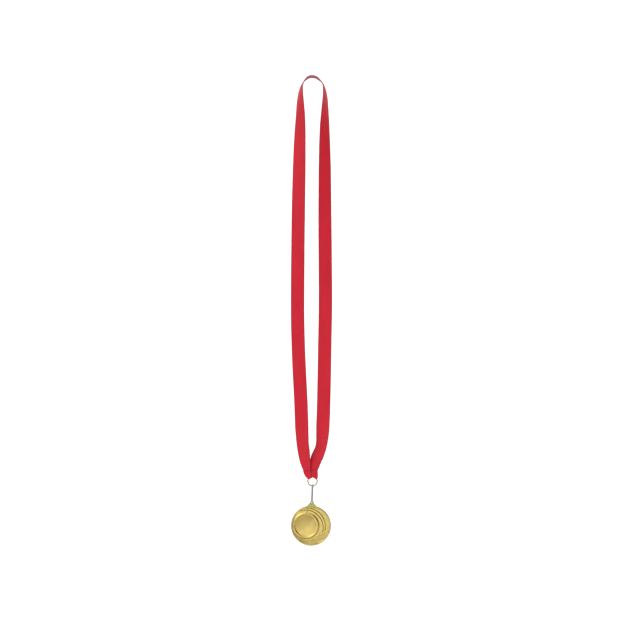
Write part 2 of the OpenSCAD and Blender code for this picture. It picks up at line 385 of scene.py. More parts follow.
def hem_grid(seam_row, down, angles, wrap_r, back_y, pleats, pleat, open_from, tail_back):
    """Rows from just below the seam to the raw end, for one strand's layer."""
    share = across + 0.5
    phi_deg = angles[0] + (angles[1] - angles[0]) * share
    phi = np.radians(phi_deg)
    wrap_r = (wrap_r[0] + (wrap_r[1] - wrap_r[0]) * share)[:, None]
    back_y = back_y[0] + (back_y[1] - back_y[0]) * share
    radial = np.stack([np.sin(phi), 0 * phi, np.cos(phi)], axis=1)
    centre = np.array([ring_x, 0, ring_z]) + RING_R * radial
    touch_front = centre - wrap_r * BACKWARD
    touch_back = centre + wrap_r * BACKWARD
    reach = np.linalg.norm(touch_front - seam_row, axis=1)[:, None]
    t = (np.arange(LEG_ROWS) + 1) / LEG_ROWS
    leave, off_ring = 1.1 * reach * down, 0.75 * reach * radial
    front_leg = np.array([hermite(seam_row, touch_front, leave, -off_ring, x) for x in t])
    a = np.linspace(0, math.pi, WRAP_ROWS + 1)[1:, None, None]
    wrap = centre - wrap_r * np.cos(a) * BACKWARD - wrap_r * np.sin(a) * radial
    seam_back = seam_row.copy()
    seam_back[:, 1] = back_y
    back_leg = np.array([hermite(touch_back, seam_back, off_ring, reach * UP, x) for x in t])
    raw_end = seam_back.copy()
    raw_end[:, 0] += TAIL_SHIFT_X
    raw_end[:, 1] += TAIL_SHIFT_Y + 0.25 * np.sin(5 * share) + tail_back * smoothstep(0.2, 0.7, share)
    raw_end[:, 2] = TAIL_Z + 0.35 * np.sin(9 * share + back_y)
    lift = (raw_end - seam_back) * UP
    t = (np.arange(TAIL_ROWS) + 1) / TAIL_ROWS
    tail = np.array([hermite(seam_back, raw_end, lift, lift, x) for x in t])
    grid = np.concatenate([front_leg, wrap, back_leg, tail])
    # Pleats: the gathered cloth stands off the wire, most of all where it is squeezed most
    rise_in = smoothstep(0, 0.9, (np.arange(LEG_ROWS) + 1) / LEG_ROWS)
    strength = np.r_[rise_in, np.ones(WRAP_ROWS), rise_in[::-1], np.zeros(TAIL_ROWS)]
    shape = 0.5 * (1 - np.cos(2 * math.pi * pleats * share)) * smoothstep(open_from, open_from + 12, phi_deg)
    return grid, pleat * strength[:, None] * shape[None, :]


def grid_normals(grid):
    """Outer side of the cloth at every point of the grid."""
    return unit(np.cross(np.gradient(grid, axis=1), np.gradient(grid, axis=0)))


def ribbon_strip():
    """The whole ribbon as one closed strip, and its length along the middle."""
    strands, along = strand_grid()
    left, left_lift = hem_grid(strands[0], -along[0], **HEM_SIDES["left"])
    right, right_lift = hem_grid(strands[-1], along[-1], **HEM_SIDES["right"])
    grid = np.concatenate([left[::-1], strands, right])
    lift = np.concatenate([left_lift[::-1], np.zeros(strands.shape[:2]), right_lift])
    outer = grid_normals(grid)
    # The seam's line is pulled into the cloth, on the front and on the back
    z = grid[..., 2] - SEAM_TILT * (grid[..., 0] - SEAM_LEVEL_X)
    near_seam = np.exp(-(((z - SEAM_Z) / SEAM_SPREAD) ** 2))
    grid = grid + (lift - SEAM_PULL * near_seam)[..., None] * outer
    outer = grid_normals(grid)

    steps = np.linalg.norm(np.diff(grid[:, COLUMNS // 2], axis=0), axis=1)
    length = np.r_[0, np.cumsum(steps)]
    from_edge = (0.5 - np.abs(across)) * RIBBON_W
    half = RIBBON_T / 2 * (0.88 + 0.22 * np.exp(-((from_edge / 0.9) ** 2)))
    rows = len(grid)
    sideways = unit(np.gradient(grid, axis=1))
    top = grid + half[None, :, None] * outer
    bottom = grid - half[None, :, None] * outer
    low_edge = grid[:, :1] - EDGE_BULGE * sideways[:, :1]
    high_edge = grid[:, -1:] + EDGE_BULGE * sideways[:, -1:]
    loop = np.concatenate([top, high_edge, bottom[:, ::-1], low_edge], axis=1)
    per_row = loop.shape[1]
    faces = grid_faces(rows, per_row, closed=True)
    faces.append(list(range(per_row)))
    faces.append([(rows - 1) * per_row + k for k in range(per_row)][::-1])
    strip = make_mesh("neck_ribbon", loop.reshape(-1, 3), faces)

    u = across * RIBBON_W
    loop_u = np.r_[u, u[-1] + 0.2, u[::-1], u[0] - 0.2]
    set_attribute(strip, "across_mm", np.tile(loop_u, rows))
    set_attribute(strip, "along_mm", np.repeat(length, per_row))
    # Painted shade along the seam's crease
    round_row = [near_seam, near_seam[:, -1:], near_seam[:, ::-1], near_seam[:, :1]]
    set_attribute(strip, "seam_crease_shade", np.concatenate(round_row, axis=1).reshape(-1))
    # The inner face takes the darker back colour, partly painted shade
    inner = np.r_[np.zeros(COLUMNS), 0.5, np.ones(COLUMNS), 0.5]
    set_attribute(strip, "inner", np.tile(inner, rows))
    return strip, length[-1]


ribbon, ribbon_length = ribbon_strip()

# ---------------------------------------------------------------- seam stitches
STITCH_L = 2.1
STITCH_PITCH = 2.31
STITCHES = 7
SEAM_LEFT = -9.8
THREAD_R = 0.17
STITCH_SINK = 0.7
BACK_OVERLAP = 0.7
# The left strand's inner edge, which lies over the right strand, ends between these
LAP_FROM, LAP_TO = -1.6, -0.6
# Where the cloth's front and back faces lie along the seam, and how far they step at that edge
FRONT_FACE_Y, FRONT_STEP = -LAYER_Y - 0.12, 0.70
BACK_FACE_Y, BACK_STEP = 0.6, 0.5
BACK_RISE, BACK_RISE_FROM, BACK_RISE_WIDTH = 0.86, -9.9, 8.3
YARN = dict(sides=12, ply=0.35, twist=5.0)


def stitch_path(left, right, y_left, y_right, outward):
    """One stitch: it leaves the cloth, lies along it, and goes back in."""
    t = np.linspace(0, 1, 25)
    x = left + (right - left) * t
    y = y_left + (y_right - y_left) * smoothstep(0.2, 0.8, t)
    dive = np.abs(2 * t - 1) ** 6 * STITCH_SINK
    z = SEAM_Z + SEAM_TILT * (x - SEAM_LEVEL_X) + 0.08 * np.sin(3 * t + left)
    return np.stack([x, y + outward * (THREAD_R * 0.6 - dive), z], axis=1)


def cloth_front(x):
    """How far forward the cloth's front lies along the seam: the left strand over the right one."""
    return FRONT_FACE_Y + FRONT_STEP * smoothstep(LAP_FROM, LAP_TO, x)


def cloth_back(x):
    """How far back the raw ends' back lies along the seam."""
    rise = BACK_RISE * np.clip((x - BACK_RISE_FROM) / BACK_RISE_WIDTH, 0, 1)
    return BACK_FACE_Y + rise - BACK_STEP * smoothstep(LAP_FROM, LAP_TO, x)


stitches = []
for i in range(STITCHES):
    left = SEAM_LEFT + i * STITCH_PITCH
    right = left + STITCH_L
    path = stitch_path(left, right, cloth_front(left), cloth_front(right), -1)
    stitches.append(tube(f"stitch_front_{i}", path, THREAD_R, **YARN))
    if i < STITCHES - 1:
        start, end = right - BACK_OVERLAP, left + STITCH_PITCH + BACK_OVERLAP
        back = stitch_path(start, end, cloth_back(start), cloth_back(end), 1)
        stitches.append(tube(f"stitch_back_{i}", back, THREAD_R, **YARN))


def join(name, pieces):
    """One object from several, named name."""
    points, faces, first = [], [], 0
    for piece in pieces:
        co = np.array([v.co for v in piece.data.vertices]) / MM
        faces += [[first + k for k in p.vertices] for p in piece.data.polygons]
        points.append(co)
        first += len(co)
        data = piece.data
        bpy.data.objects.remove(piece)
        bpy.data.meshes.remove(data)
    return make_mesh(name, np.concatenate(points), faces)


seam = join("seam_stitches", stitches)

# ---------------------------------------------------------------- ring and link
JOINT_ANGLE = 210
RING_GAP = 1.4
RING_SPRING, SPRING_FADE = 0.10, 18


def ring_path():
    """Once round from the joint, at the lower left."""
    angle = np.radians(np.linspace(JOINT_ANGLE + RING_GAP / 2, JOINT_ANGLE + 360 - RING_GAP / 2, 181))
    # The two butted ends don't meet quite true
    past = np.degrees(angle) - JOINT_ANGLE
    spring = RING_SPRING * (np.exp(-past / SPRING_FADE) - np.exp(-(360 - past) / SPRING_FADE))
    return np.stack([ring_x + RING_R * np.cos(angle), spring, ring_z + RING_R * np.sin(angle)], axis=1)


ring = tube("jump_ring_wire", ring_path(), WIRE_R, sides=24)

CONTACT_PLAY = 0.05
top_z = WIRE_R + CONTACT_PLAY + LINK_WIRE_R - LINK_BEND_R
bottom_z = LINK_BEND_R - hang_length
LINK_JOINT_BELOW = 1.0
LINK_GAP = 0.15
LINK_OFFSET, OFFSET_FADE = 0.28, 1.6


def link_path():
    """From the joint on the front side, over the top, down the back, round the bottom and up again."""
    joint_z = top_z - LINK_JOINT_BELOW
    bend = np.linspace(0, math.pi, 31)
    over = np.stack([-LINK_BEND_R * np.cos(bend), top_z + LINK_BEND_R * np.sin(bend)], axis=1)
    under = np.stack([LINK_BEND_R * np.cos(bend), bottom_z - LINK_BEND_R * np.sin(bend)], axis=1)
    rise = np.linspace(joint_z + LINK_GAP / 2, top_z, 5)[:-1]
    back = np.linspace(top_z, bottom_z, 21)[1:-1]
    front = np.linspace(bottom_z, joint_z - LINK_GAP / 2, 21)[1:]
    front_y, back_y = -LINK_BEND_R, LINK_BEND_R
    y = np.r_[0 * rise + front_y, over[:, 0], 0 * back + back_y, under[:, 0], 0 * front + front_y]
    z = np.r_[rise, over[:, 1], back, under[:, 1], front]
    # The upper end was bent shut a little past the lower one
    away = np.r_[0, np.cumsum(np.hypot(np.diff(y), np.diff(z)))]
    x = LINK_OFFSET * np.exp(-away / OFFSET_FADE)
    c, s = math.cos(LINK_TWIST), math.sin(LINK_TWIST)
    return hang_from + leaned(np.stack([c * x - s * y, s * x + c * y, z], axis=1))


link = tube("oblong_link_wire", link_path(), LINK_WIRE_R, sides=24)

# ---------------------------------------------------------------- medal
FIELD = (-5.7, 0.1)
FIELD_R = 12.0
WALL_R = 13.1
CREST_R = 13.5
RIDGE_FOOT_R = 15.3
RIM_IN_R = medal_r - 1.7
EDGE_ROUND = 0.8
ANGLES = 320
RIDGE_TOP = -0.02
FIELD_DROP = 0.9
FIELD_DOME = 0.6
BLANK_DOME = 0.3
PLAIN_R = 1.0
# Overlapping leaves between the ridge and the rim, lowest first: the centre and radius of each one's
# edge, the radius its slope starts from, and its lowest and highest levels
LEAVES = [
    ((0, 0), 24.0, 14.0, -0.5, -0.05),
    ((-4.4, -0.8), 20.8, 12.0, -0.7, -0.08),
    ((-6.1, -2.2), 20.0, 12.0, -0.7, -0.02),
]
LEAF_FOOT = 0.25
# Swoops at the foot, inner first: where each starts and ends round one centre, and its highest level
SWOOP_CENTRE = (2, 14)
SWOOPS = [(23.9, 26.3, -0.02), (26.3, 30.6, -0.04), (30.6, 33.6, -0.06), (33.6, 38.0, -0.1)]
SWOOP_LOW, SWOOP_FOOT = -0.62, 0.3
# Two short strokes at the upper left, one raised and one sunk, round one centre: radius, width, height
STROKE_CENTRE = (12, -10)
STROKES = [(31.1, 0.45, 0.35), (32.1, 0.4, -0.25)]
STROKE_SPAN = (112, 115, 126, 131)
GROUND, DEEPEST = -0.9, -0.85
FOOT_DEPTH, FOOT_SPREAD = 0.35, 0.7
RIM_FOOT, RIM_TOP = RIM_IN_R - 0.25, RIM_IN_R + 0.15
# The rounded edge is painted dark as shade; the back is a little darker
EDGE_SHADE, BACK_DARK = 1.0, 0.15
EDGE_STRAIGHT_TO = 1.4
FIRST_RING_R = 0.6
RIM_START_R = RIM_IN_R - 0.3
# How dark the front's painted shade is, from 0 to 1, and where: on steep relief, in the hollow outside the
# ridge, on the field's upper left and the rim's left edge, and in the corner at the foot of the field's wall
STEEP_SHADE, STEEP_FROM, STEEP_TO = 0.95, 0.22, 0.75
HOLLOW_SHADE, HOLLOW_R, HOLLOW_SPREAD = 0.95, 14.5, 0.85
FIELD_LEFT_SHADE, RIM_LEFT_SHADE = 0.42, 0.50
CORNER_SHADE, CORNER_R, CORNER_SPREAD = 0.75, FIELD_R + 0.5, 0.7
SLOPE_STEP = 0.15


def saw(distance, start, end, low, high, fall=0.95):
    """Rises gently from low at start to high near end, then drops sharply back to low."""
    climb = np.clip((distance - start) / (end - start), 0, 1) ** 1.4
    return low + (high - low) * climb * (1 - smoothstep(end - fall * 0.7, end + fall * 0.3, distance))


def relief(x, z):
    """Height of the front of the medal over its rim's top, at x and z from the medal's centre."""
    r = np.hypot(x, z)
    from_field = np.hypot(x - FIELD[0], z - FIELD[1])
    h = np.full(r.shape, GROUND)
    for i, (centre, edge_r, start, low, high) in enumerate(LEAVES):
        d = np.hypot(x - centre[0], z - centre[1])
        inside = (d < edge_r + LEAF_FOOT) | (i == 0)
        h = np.where(inside, saw(d, start, edge_r, low, high), h)
    # The swoops lie over the leaves
    d = np.hypot(x - SWOOP_CENTRE[0], z - SWOOP_CENTRE[1])
    for start, end, high in SWOOPS:
        h = np.where(d > start + SWOOP_FOOT, saw(d, start, end, SWOOP_LOW, high), h)
    d = np.hypot(x - STROKE_CENTRE[0], z - STROKE_CENTRE[1])
    angle = np.degrees(np.arctan2(z - STROKE_CENTRE[1], x - STROKE_CENTRE[0]))
    length = smoothstep(*STROKE_SPAN[:2], angle) * (1 - smoothstep(*STROKE_SPAN[2:], angle))
    for radius, width, height in STROKES:
        h = h + length * height * np.exp(-(((d - radius) / width) ** 2))
    # The round ridge and the rim stand over everything
    dish = FIELD_DROP - FIELD_DOME * (1 - np.minimum(from_field / FIELD_R, 1) ** 2)
    ridge = RIDGE_TOP - (from_field < WALL_R) * dish * (1 - smoothstep(FIELD_R, WALL_R, from_field))
    outside = smoothstep(CREST_R, RIDGE_FOOT_R, from_field)
    foot = FOOT_DEPTH * np.exp(-(((from_field - RIDGE_FOOT_R) / FOOT_SPREAD) ** 2))
    h = ridge * (1 - outside) + (np.maximum(h, DEEPEST) - foot * (h - GROUND)) * outside
    rim = smoothstep(RIM_FOOT, RIM_TOP, r)
    return h * (1 - rim) - BLANK_DOME * (np.minimum(r, RIM_IN_R) / medal_r) ** 2


def ring_stations():
    """Radius of each of the front's rings of points, and how far its centre is the field's."""
    inner = np.r_[np.linspace(FIRST_RING_R, FIELD_R - 0.2, 22), np.linspace(FIELD_R, RIDGE_FOOT_R, 15)]
    share = np.linspace(0, 1, 61)[1:]
    radius = np.r_[inner, RIDGE_FOOT_R + (RIM_START_R - RIDGE_FOOT_R) * share]
    weight = np.r_[np.ones(len(inner)), 1 - share]
    rim = np.linspace(RIM_START_R, medal_r - EDGE_ROUND, 9)[1:]
    radius, weight = np.r_[radius, rim], np.r_[weight, np.zeros(len(rim))]
    return radius, weight


def relief_shade(x, z):
    """How dark the front's painted shade is, from 0 to 1, at x and z from the medal's centre."""
    right, up = x - FIELD[0], z - FIELD[1]
    from_field = np.hypot(right, up)
    rise_x = relief(x + SLOPE_STEP, z) - relief(x - SLOPE_STEP, z)
    rise_z = relief(x, z + SLOPE_STEP) - relief(x, z - SLOPE_STEP)
    slope = np.hypot(rise_x, rise_z) / (2 * SLOPE_STEP)
    # Painted shade on the steep relief outside the field's wall
    past_wall = smoothstep(WALL_R, CREST_R + 0.3, from_field)
    steep_shade = STEEP_SHADE * smoothstep(STEEP_FROM, STEEP_TO, slope) * past_wall
    # Painted shade in the hollow outside the ridge, strongest below and to the right, the side away from the
    # light
    shaded_side = smoothstep(-0.25, 0.55, (0.75 * right - 0.66 * up) / from_field)
    hollow = HOLLOW_SHADE * shaded_side * np.exp(-(((from_field - HOLLOW_R) / HOLLOW_SPREAD) ** 2))
    # Painted shade on the field's upper left and on the medal's left edge
    upper_left = (up - right) / (math.sqrt(2) * FIELD_R)
    left_shade = FIELD_LEFT_SHADE * smoothstep(-0.4, 1.0, upper_left) * (from_field < WALL_R)
    left_shade = left_shade + RIM_LEFT_SHADE * smoothstep(0.70, 0.97, -x / medal_r) * (from_field >= WALL_R)
    # Painted shade in the corner between the field and its wall, on the left
    left_side = smoothstep(0.1, 0.8, (0.42 * up - 0.9 * right) / from_field)
    corner_shade = CORNER_SHADE * left_side * np.exp(-(((from_field - CORNER_R) / CORNER_SPREAD) ** 2))
    return np.maximum.reduce([steep_shade, hollow, left_shade, corner_shade])


def edge_profile():
    """Radius and Y of the medal's rounded edge, from the front's rim to the back."""
    turn = np.linspace(0, math.pi / 2, 6)[1:]
    flat_r = medal_r - EDGE_ROUND
    rim_y = FRONT_Y + BLANK_DOME * (RIM_IN_R / medal_r) ** 2
    radius = np.r_[flat_r + EDGE_ROUND * np.sin(turn), flat_r + EDGE_ROUND * np.cos(turn)]
    y = np.r_[rim_y + EDGE_ROUND * (1 - np.cos(turn)), BACK_Y - EDGE_ROUND + EDGE_ROUND * np.sin(turn)]
    radius = np.insert(radius, 5, [medal_r, medal_r])
    return radius, np.insert(y, 5, [FRONT_Y + EDGE_STRAIGHT_TO, BACK_Y - EDGE_ROUND])


def medal_body():
    """The disc: its front in relief, its rounded edge and its plain back."""
    angle = np.linspace(0, 2 * math.pi, ANGLES, endpoint=False)
    radius, weight = ring_stations()
    x = weight[:, None] * FIELD[0] + radius[:, None] * np.cos(angle)
    z = weight[:, None] * FIELD[1] + radius[:, None] * np.sin(angle)
    front = np.stack([x, FRONT_Y - relief(x, z), z], axis=-1)
    edge_r, edge_y = edge_profile()
    back_r = np.linspace(medal_r - EDGE_ROUND, PLAIN_R, 14)[1:]
    all_r = np.r_[edge_r, back_r][:, None]
    all_y = np.r_[edge_y, np.full(len(back_r), BACK_Y)][:, None]
    rest = np.stack([all_r * np.cos(angle), np.repeat(all_y, ANGLES, 1), all_r * np.sin(angle)], axis=-1)
    rings = np.concatenate([front, rest])
    centre_front = [FIELD[0], FRONT_Y + FIELD_DROP - RIDGE_TOP - FIELD_DOME, FIELD[1]]
    points = np.concatenate([rings.reshape(-1, 3), [centre_front, [0, BACK_Y, 0]]])
    rows = len(rings)
    faces = grid_faces(rows, ANGLES, closed=True)
    a = np.arange(ANGLES)
    b = (a + 1) % ANGLES
    faces += [[rows * ANGLES, j, i] for i, j in zip(a, b)]
    last = (rows - 1) * ANGLES
    faces += [[rows * ANGLES + 1, last + i, last + j] for i, j in zip(a, b)]
    body = make_mesh("medal_disc", points + np.array([medal_x, 0, medal_z]), faces)
    # Painted shade on the rounded edge and a little darkening on the back, in the same attribute as the
    # front's painted shade
    rest_dark = np.repeat(np.r_[np.full(len(edge_r), EDGE_SHADE), np.full(len(back_r), BACK_DARK)], ANGLES)
    set_attribute(body, "hollow", np.concatenate([relief_shade(x, z).reshape(-1), rest_dark, [0, BACK_DARK]]))
    return body


disc = medal_body()

# The lug: a leaf round the hole, thicker where it laps over the medal's rim
HOLE_R = 1.1
LUG_TOP_R = 2.0
FLANK_R = 9.0
LUG_ROOT_UP = 19.3
LUG_HALF_T = 1.0
LUG_ROOT_T = 1.78
LUG_ROUND = 0.4
LUG_THICK_TO, LUG_THIN_FROM = 20.8, 24.4
LUG_COLUMNS = 144
# The root's curve leaves the medal's edge and reaches its tip along these
ROOT_LEAVES, ROOT_ARRIVES = np.array([-1.2, -2.6]), np.array([-5.5, 0])
# Painted shade on the lug's rounded edges and round its hole
LUG_EDGE_SHADE = 0.8
HOLE_SHADE, HOLE_SHADE_SPREAD = 0.9, 0.7


def arc(radius, start, end, count):
    """Points of an arc round the origin, from angle start to angle end."""
    angle = np.linspace(start, end, count)
    return radius * np.stack([np.cos(angle), np.sin(angle)], axis=1)


def lug_outline(hole_up):
    """The right half of the lug's outline from the medal's centre: round top, hollow flank, rounded root."""
    far, near = medal_r + FLANK_R, LUG_TOP_R + FLANK_R
    flank_z = (far**2 - near**2 + hole_up**2) / (2 * hole_up)
    flank_x = math.sqrt(far**2 - flank_z**2)
    flank = np.array([flank_x, flank_z])
    foot = flank * medal_r / far
    shoulder = np.array([0, hole_up]) + (flank - np.array([0, hole_up])) * LUG_TOP_R / near
    top = math.atan2(shoulder[1] - hole_up, shoulder[0])
    crown = np.array([0, hole_up]) + arc(LUG_TOP_R, top, math.pi / 2, 14)
    start = math.atan2(*(shoulder - flank)[::-1]) % (2 * math.pi)
    end = math.atan2(*(foot - flank)[::-1]) % (2 * math.pi)
    hollow = flank + arc(FLANK_R, start, end, 18)
    root = np.array([0, LUG_ROOT_UP])
    tip = hermite(foot, root, ROOT_LEAVES, ROOT_ARRIVES, np.linspace(0, 1, 16)[1:])
    return np.concatenate([crown[::-1], hollow[1:], tip])


def medal_lug():
    """The lug in rings round its hole, front and back, joined at the outline and in the hole."""
    hole = hang_to - LUG_PLAY * np.array([hang_sin, 0, hang_cos])
    hole_up = float(np.hypot(hole[0] - medal_x, hole[2] - medal_z))
    right = lug_outline(hole_up) - np.array([0, hole_up])
    angle = np.unwrap(np.arctan2(right[:, 1], right[:, 0]))
    distance = np.hypot(right[:, 0], right[:, 1])
    order = np.argsort(angle)
    turn = np.linspace(-math.pi, math.pi, LUG_COLUMNS, endpoint=False)
    mirrored = np.where(np.abs(turn) <= math.pi / 2, turn, np.sign(turn) * math.pi - turn)
    reach = np.interp(mirrored, angle[order], distance[order])
    share = np.r_[0, 0.04, 0.09, 0.16, np.linspace(0.24, 0.8, 14), 0.86, 0.91, 0.95, 0.98, 1.0]
    radius = HOLE_R + (reach[None, :] - HOLE_R) * share[:, None]
    x = radius * np.cos(turn)
    z = radius * np.sin(turn) + hole_up
    to_edge = (reach[None, :] - HOLE_R) * (1 - share[:, None])
    to_hole = (reach[None, :] - HOLE_R) * share[:, None]
    nearest = np.minimum(to_edge, to_hole)
    drop = LUG_ROUND * (1 - np.sqrt(np.clip(1 - (1 - np.clip(nearest / LUG_ROUND, 0, 1)) ** 2, 0, 1)))
    thick = LUG_HALF_T + (LUG_ROOT_T - LUG_HALF_T) * (1 - smoothstep(LUG_THICK_TO, LUG_THIN_FROM, z))
    front = np.stack([x, -thick + drop, z], axis=-1)
    back = np.stack([x, LUG_HALF_T - drop, z], axis=-1)
    rows, columns = x.shape
    points = np.concatenate([front.reshape(-1, 3), back.reshape(-1, 3)])
    second = rows * columns
    faces = grid_faces(rows, columns, closed=True)
    faces += grid_faces(rows, columns, closed=True, first=second, flip=True)
    for j in range(columns):
        k = (j + 1) % columns
        outer = (rows - 1) * columns
        faces.append([outer + j, outer + k, second + outer + k, second + outer + j])
        faces.append([k, j, second + j, second + k])
    points = leaned(points) + np.array([medal_x, 0, medal_z])
    lug = make_mesh("medal_lug", points, faces)
    # Painted shade in the hole and on the rounded edges
    near_hole = np.exp(-((to_hole / HOLE_SHADE_SPREAD) ** 2)) * HOLE_SHADE
    hollow = np.maximum(np.clip(drop / LUG_ROUND, 0, 1) * LUG_EDGE_SHADE, near_hole).reshape(-1)
    set_attribute(lug, "hollow", np.concatenate([hollow, hollow]))
    return lug


lug = medal_lug()

# ---------------------------------------------------------------- materials


def new_material(name):
    """A node material, with its tree and its main shader."""
    material = bpy.data.materials.new(name)
    material.use_nodes = True
    return material, material.node_tree, material.node_tree.nodes["Principled BSDF"]


def node(tree, kind, inputs=None, **settings):
    """A new node. Each input is a value, or a socket to link from."""
    made = tree.nodes.new(kind)
    for key, value in settings.items():
        setattr(made, key, value)
    for key, value in (inputs or {}).items():
        if isinstance(value, bpy.types.NodeSocket):
            tree.links.new(value, made.inputs[key])
        else:
            made.inputs[key].default_value = value
    return made


def calc(tree, operation, *values):
    """The output of a new Math node. Each value is a number, or a socket to link from."""
    made = tree.nodes.new("ShaderNodeMath")
    made.operation = operation
    for i, value in enumerate(values):
        if isinstance(value, bpy.types.NodeSocket):
            tree.links.new(value, made.inputs[i])
        else:
            made.inputs[i].default_value = value
    return made.outputs[0]


def mix(tree, factor, a, b):
    """The colour a turning into b as factor goes from 0 to 1."""
    made = tree.nodes.new("ShaderNodeMix")
    made.data_type = "RGBA"
    for key, kind, value in (("Factor", "VALUE", factor), ("A", "RGBA", a), ("B", "RGBA", b)):
        socket = next(s for s in made.inputs if s.name == key and s.type == kind)
        if isinstance(value, bpy.types.NodeSocket):
            tree.links.new(value, socket)
        else:
            socket.default_value = value if kind == "VALUE" else (*value, 1)
    return next(s for s in made.outputs if s.type == "RGBA")


def level(tree, name):
    """The mesh attribute called name."""
    return node(tree, "ShaderNodeAttribute", attribute_name=name).outputs["Fac"]


def remap(tree, value, low, high, to_low=0.0, to_high=1.0, kind="LINEAR"):
    """value, with low to high stretched to to_low to to_high and clamped there."""
    limits = {"Value": value, "From Min": low, "From Max": high, "To Min": to_low, "To Max": to_high}
    return node(tree, "ShaderNodeMapRange", limits, interpolation_type=kind).outputs["Result"]


def noise(tree, place, scale, detail, rough=0.5):
    """A noise texture's value at place."""
    inputs = {"Vector": place, "Scale": scale, "Detail": detail, "Roughness": rough}
    return node(tree, "ShaderNodeTexNoise", inputs).outputs["Fac"]


def cloth_noise(tree, u, v, u_scale, v_scale, detail, rough=0.5):
    """Noise over the cloth, stretched along it."""
    place = {"X": calc(tree, "MULTIPLY", u, u_scale), "Y": calc(tree, "MULTIPLY", v, v_scale)}
    return noise(tree, node(tree, "ShaderNodeCombineXYZ", place).outputs[0], 1.0, detail, rough)


def add_bump(tree, shader, height, strength, distance):
    """Bump on the shader from height; distance is in metres."""
    bump = node(tree, "ShaderNodeBump", {"Height": height, "Strength": strength, "Distance": distance})
    tree.links.new(bump.outputs[0], shader.inputs["Normal"])


def cloth_material(name, base, back, dark, weft_pitch, warp_pitch):
    """Woven ribbon: warp and weft, darker selvedges, a little wear and fading along its length, an inner
    face darkened partly as painted shade, and painted shade in the seam's crease.
    """
    material, tree, shader = new_material(name)
    u, v = level(tree, "across_mm"), level(tree, "along_mm")
    warp = calc(tree, "SINE", calc(tree, "MULTIPLY", u, 2 * math.pi / warp_pitch))
    weft = calc(tree, "SINE", calc(tree, "MULTIPLY", v, 2 * math.pi / weft_pitch))
    weave = calc(tree, "MULTIPLY", warp, weft)
    ribs = calc(tree, "ABSOLUTE", calc(tree, "SINE", calc(tree, "MULTIPLY", v, math.pi / weft_pitch)))
    between_ribs = calc(tree, "SUBTRACT", 1.0, ribs)
    from_edge = calc(tree, "SUBTRACT", RIBBON_W / 2, calc(tree, "ABSOLUTE", u))
    selvedge = remap(tree, from_edge, 0.15, 1.1, 1.0, 0.0, kind="SMOOTHSTEP")
    cloudy = cloth_noise(tree, u, v, 0.10, 0.022, 4.0, 0.55)
    yarn = cloth_noise(tree, u, v, 3.0, 0.25, 3.0)
    faded = tuple(c * 0.86 for c in base)
    bright = tuple(min(1, c * 1.25 + 0.01) for c in base)
    color = mix(tree, remap(tree, cloudy, 0.3, 0.7), base, faded)
    # The inner face's darker colour is partly a duller back face and partly painted shade under the arch
    color = mix(tree, level(tree, "inner"), color, back)
    color = mix(tree, calc(tree, "MULTIPLY", yarn, 0.22), color, bright)
    # The seam crease's darkening is painted shade
    for amount, share in ((between_ribs, 0.35), (selvedge, 0.62), (level(tree, "seam_crease_shade"), 0.65)):
        color = mix(tree, calc(tree, "MULTIPLY", amount, share), color, dark)
    tree.links.new(color, shader.inputs["Base Color"])
    tree.links.new(remap(tree, yarn, 0.2, 0.8, 0.50, 0.66), shader.inputs["Roughness"])
    height = calc(tree, "ADD", calc(tree, "MULTIPLY", weave, 0.35), ribs)
    add_bump(tree, shader, height, 0.55, 0.00009)
    shader.inputs["Specular IOR Level"].default_value = 0.22
    shader.inputs["Sheen Weight"].default_value = 0.22
    shader.inputs["Sheen Roughness"].default_value = 0.45
    shader.inputs["Sheen Tint"].default_value = (1.0, 0.55, 0.55, 1)
    return material


def thread_material(name, base, dark):
    """Sewing thread, slightly fuzzy."""
    material, tree, shader = new_material(name)
    place = node(tree, "ShaderNodeTexCoord").outputs["Object"]
    fuzz = noise(tree, place, 6000.0, 3.0)
    tree.links.new(mix(tree, fuzz, base, dark), shader.inputs["Base Color"])
    tree.links.new(remap(tree, fuzz, 0.0, 1.0, 0.45, 0.7), shader.inputs["Roughness"])
    add_bump(tree, shader, fuzz, 0.4, 0.00003)
    return material


def metal_material(name, bright, dark, rough, grain_scale, grain, attribute=None):
    """Plated metal: satin grain, cloudy tarnish, and painted shade where the attribute says so."""
    material, tree, shader = new_material(name)
    place = node(tree, "ShaderNodeTexCoord").outputs["Object"]
    cloudy = noise(tree, place, 160.0, 5.0, 0.6)
    satin = noise(tree, place, grain_scale, 4.0, 0.6)
    color = mix(tree, remap(tree, cloudy, 0.42, 0.75, 0.0, 0.22), bright, dark)
    # The attribute holds painted shade, which darkens the colour
    if attribute:
        hollow = remap(tree, level(tree, attribute), 0.0, 1.0, 0.0, 0.8)
        color = mix(tree, hollow, color, dark)
    tree.links.new(color, shader.inputs["Base Color"])
    roughness = remap(tree, satin, 0.3, 0.7, rough - 0.05, rough + 0.07)
    tree.links.new(roughness, shader.inputs["Roughness"])
    add_bump(tree, shader, satin, grain, 0.00003)
    shader.inputs["Metallic"].default_value = 1.0
    return material


GOLD_GRAIN, WIRE_GRAIN = (5200.0, 0.35), (3800.0, 0.3)
red_cloth = cloth_material(
    "red_ribbon",
    base=(0.56, 0.009, 0.022),
    # back: a duller back face, darkened further as painted shade under the arch
    back=(0.30, 0.004, 0.045),
    dark=(0.19, 0.005, 0.020),
    weft_pitch=0.62,
    warp_pitch=0.42,
)
red_thread = thread_material("red_thread", (0.40, 0.007, 0.022), (0.24, 0.004, 0.014))
gold = metal_material("satin_gold", (0.80, 0.61, 0.20), (0.14, 0.095, 0.015), 0.32, *GOLD_GRAIN, "hollow")
